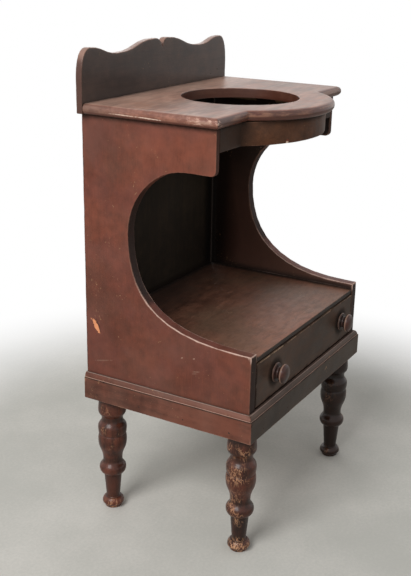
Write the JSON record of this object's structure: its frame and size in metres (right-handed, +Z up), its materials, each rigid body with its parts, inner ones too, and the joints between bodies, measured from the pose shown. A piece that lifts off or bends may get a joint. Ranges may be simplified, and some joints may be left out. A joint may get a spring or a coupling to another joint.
{
  "type": "washstand",
  "caption": "painted pine washstand with scooped sides, a bow-front top with a round basin hole, a shaped splash board, an open shelf over a drawer, and turned legs",
  "frame": {"origin": "on the floor, at the bottom centre of the bounding box, with the drawer shut", "axes": "+X to the right as seen from the front, -Y out of the front where the drawer slides, +Z up"},
  "size_m": [0.51, 0.3796, 0.9073],
  "materials": {
    "paint": "old red-brown paint on pine, worn to pale wood on the edges",
    "top_paint": "rubbed brown paint with a dull sheen",
    "turned_wood": "dark glossy paint, chipped to tan wood",
    "bare_wood": "unfinished pine, darkened with age"
  },
  "bodies": {
    "stand": {"side_left": "paint", "side_right": "paint", "back_board": "paint", "front_rail": "paint", "apron": "paint", "splash": "paint", "moulding_left": "paint", "moulding_front": "paint", "moulding_right": "paint", "top": "top_paint", "shelf": "top_paint", "leg_front_left": "turned_wood", "leg_front_right": "turned_wood", "leg_back_left": "turned_wood", "leg_back_right": "turned_wood", "base_board": "bare_wood", "runner_left": "bare_wood", "runner_right": "bare_wood", "stop_left": "bare_wood", "stop_right": "bare_wood", "rear_block_left": "bare_wood", "rear_block_right": "bare_wood", "front_block_left": "bare_wood", "front_block_right": "bare_wood", "apron_block_left": "bare_wood", "apron_block_right": "bare_wood"},
    "drawer": {"drawer_front": "paint", "drawer_left": "bare_wood", "drawer_right": "bare_wood", "drawer_back": "bare_wood", "drawer_bottom": "bare_wood", "knob_left": "turned_wood", "knob_right": "turned_wood"}
  },
  "joints": [
    {"name": "drawer_slide", "type": "slide", "parent": "stand", "child": "drawer", "axis": [0, -1, 0], "range_m": [0, 0.25]}
  ]
}
